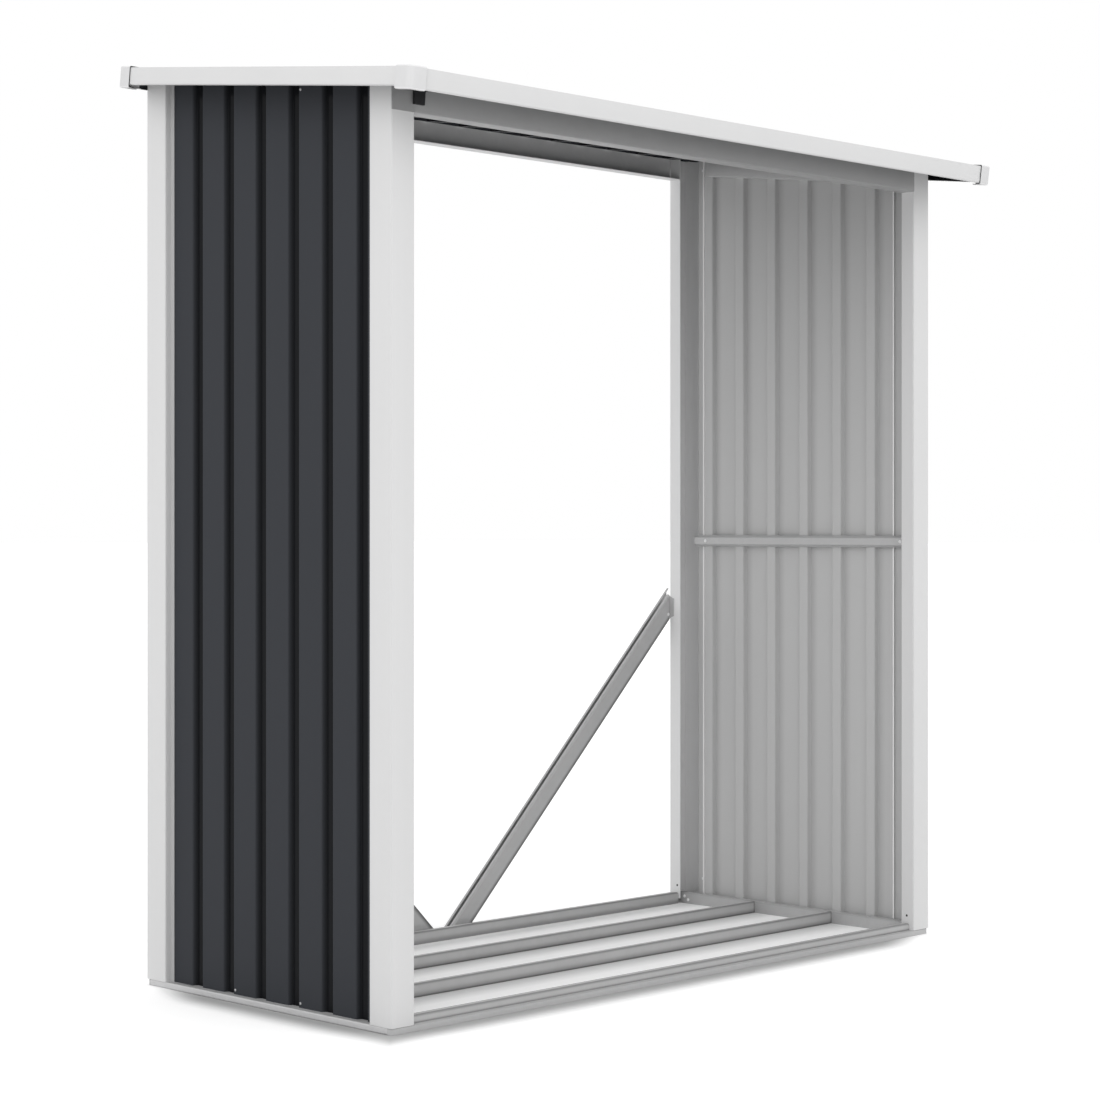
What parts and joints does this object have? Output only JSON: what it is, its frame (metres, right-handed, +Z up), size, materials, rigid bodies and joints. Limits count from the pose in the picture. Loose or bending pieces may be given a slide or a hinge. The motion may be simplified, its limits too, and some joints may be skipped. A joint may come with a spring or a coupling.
{
  "type": "log store",
  "caption": "Open-fronted log store of folded sheet steel with ribbed end walls, a barred floor frame, back braces and a single-pitch roof that overhangs the front.",
  "frame": {"origin": "on the ground under the middle of the object's box", "axes": "+Z up, +X along the length from the left end to the right end, +Y from the open front to the back"},
  "size_m": [1.7246, 0.867, 1.7963],
  "materials": {
    "white_paint": "satin off-white paint on steel",
    "anthracite_paint": "satin anthracite paint on ribbed steel",
    "galvanised_steel": "dull galvanised steel",
    "white_plastic": "moulded off-white plastic",
    "dark_plastic": "moulded dark plastic"
  },
  "bodies": {
    "root": {"front_base_rail": "galvanised_steel", "back_base_rail": "galvanised_steel", "left_base_rail": "galvanised_steel", "right_base_rail": "galvanised_steel", "front_floor_bar": "galvanised_steel", "back_floor_bar": "galvanised_steel", "front_left_post": "white_paint", "front_right_post": "white_paint", "back_left_post": "white_paint", "back_right_post": "white_paint", "left_wall_panel": "anthracite_paint", "right_wall_panel": "anthracite_paint", "left_mid_rail": "galvanised_steel", "right_mid_rail": "galvanised_steel", "left_top_rail": "galvanised_steel", "right_top_rail": "galvanised_steel", "front_beam": "galvanised_steel", "back_beam": "galvanised_steel", "beam_clip": "dark_plastic", "left_brace": "galvanised_steel", "right_brace": "galvanised_steel", "left_roof_sheet": "anthracite_paint", "middle_roof_sheet": "anthracite_paint", "right_roof_sheet": "anthracite_paint", "front_roof_trim": "white_paint", "back_roof_trim": "white_paint", "left_roof_trim": "white_paint", "right_roof_trim": "white_paint", "front_left_corner_cap": "white_plastic", "front_right_corner_cap": "white_plastic", "back_left_corner_cap": "white_plastic", "back_right_corner_cap": "white_plastic"}
  },
  "joints": []
}
